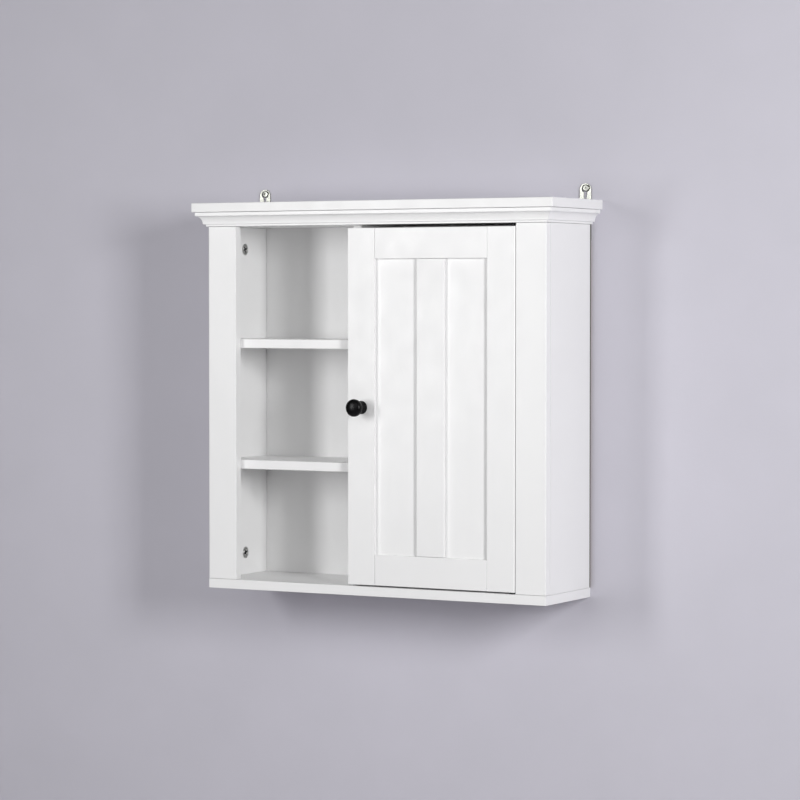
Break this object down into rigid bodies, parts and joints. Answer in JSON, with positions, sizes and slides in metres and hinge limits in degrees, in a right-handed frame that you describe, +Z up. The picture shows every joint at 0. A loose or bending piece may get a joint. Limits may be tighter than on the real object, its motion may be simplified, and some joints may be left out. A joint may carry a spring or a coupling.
{
  "type": "hanging wall cabinet",
  "caption": "White painted hanging wall cabinet with open shelves beside a framed door, a moulded crown, a round black knob and steel hanger plates.",
  "frame": {"origin": "on the wall plane, midway between the screw holes of the two hanger plates", "axes": "+X to the right seen from the front, +Y into the wall, +Z up"},
  "size_m": [0.53, 0.1562, 0.5297],
  "materials": {
    "white_paint": "satin white paint on board",
    "hardboard": "white front, bare brown rear",
    "black_metal": "satin black",
    "bright_steel": "bright plated",
    "zinc_fitting": "dull zinc",
    "white_plastic": "matte",
    "black_plastic": "matte black",
    "clear_rubber": "frosted",
    "magnet": "bare ferrite"
  },
  "bodies": {
    "cabinet": {"top_board": "white_paint", "carcass_top": "white_paint", "bottom_board": "white_paint", "side_panel_left": "white_paint", "side_panel_right": "white_paint", "front_post_left": "white_paint", "front_post_right": "white_paint", "divider_panel": "white_paint", "back_panel": "hardboard", "open_shelf_lower": "white_paint", "open_shelf_upper": "white_paint", "inner_shelf": "white_paint", "crown_front": "white_paint", "crown_left": "white_paint", "crown_right": "white_paint", "hinge_bush_top": "white_plastic", "hinge_bush_bottom": "white_plastic", "hinge_washer": "black_plastic", "hanger_plate_left": "bright_steel", "hanger_plate_right": "bright_steel", "hanger_screw_left_1": "zinc_fitting", "hanger_screw_left_2": "zinc_fitting", "hanger_screw_right_1": "zinc_fitting", "hanger_screw_right_2": "zinc_fitting", "cam_lock_left_top": "zinc_fitting", "cam_lock_left_bottom": "zinc_fitting", "cam_lock_right_top": "zinc_fitting", "cam_lock_right_bottom": "zinc_fitting", "cam_bolt_left_top": "zinc_fitting", "cam_bolt_left_bottom": "zinc_fitting", "cam_bolt_right_top": "zinc_fitting", "cam_bolt_right_bottom": "zinc_fitting", "shelf_pin_left_front": "zinc_fitting", "shelf_pin_left_rear": "zinc_fitting", "shelf_pin_right_front": "zinc_fitting", "shelf_pin_right_rear": "zinc_fitting", "catch_housing": "white_plastic", "catch_magnet": "magnet", "catch_screw_1": "zinc_fitting", "catch_screw_2": "zinc_fitting", "door_rest_top": "clear_rubber", "door_rest_bottom": "clear_rubber"},
    "door": {"door_stile_left": "white_paint", "door_stile_right": "white_paint", "door_rail_top": "white_paint", "door_rail_bottom": "white_paint", "door_muntin": "white_paint", "door_panel_left": "white_paint", "door_panel_right": "white_paint", "knob": "black_metal", "knob_screw": "zinc_fitting", "hinge_pin_top": "black_metal", "hinge_pin_bottom": "black_metal", "strike_plate": "bright_steel", "strike_screw": "zinc_fitting"}
  },
  "joints": [
    {"name": "door_swing", "type": "hinge", "parent": "cabinet", "child": "door", "pos_m": [0.2, -0.1261, -0.2794], "axis": [0, 0, 1], "range_deg": [0, 100]}
  ]
}
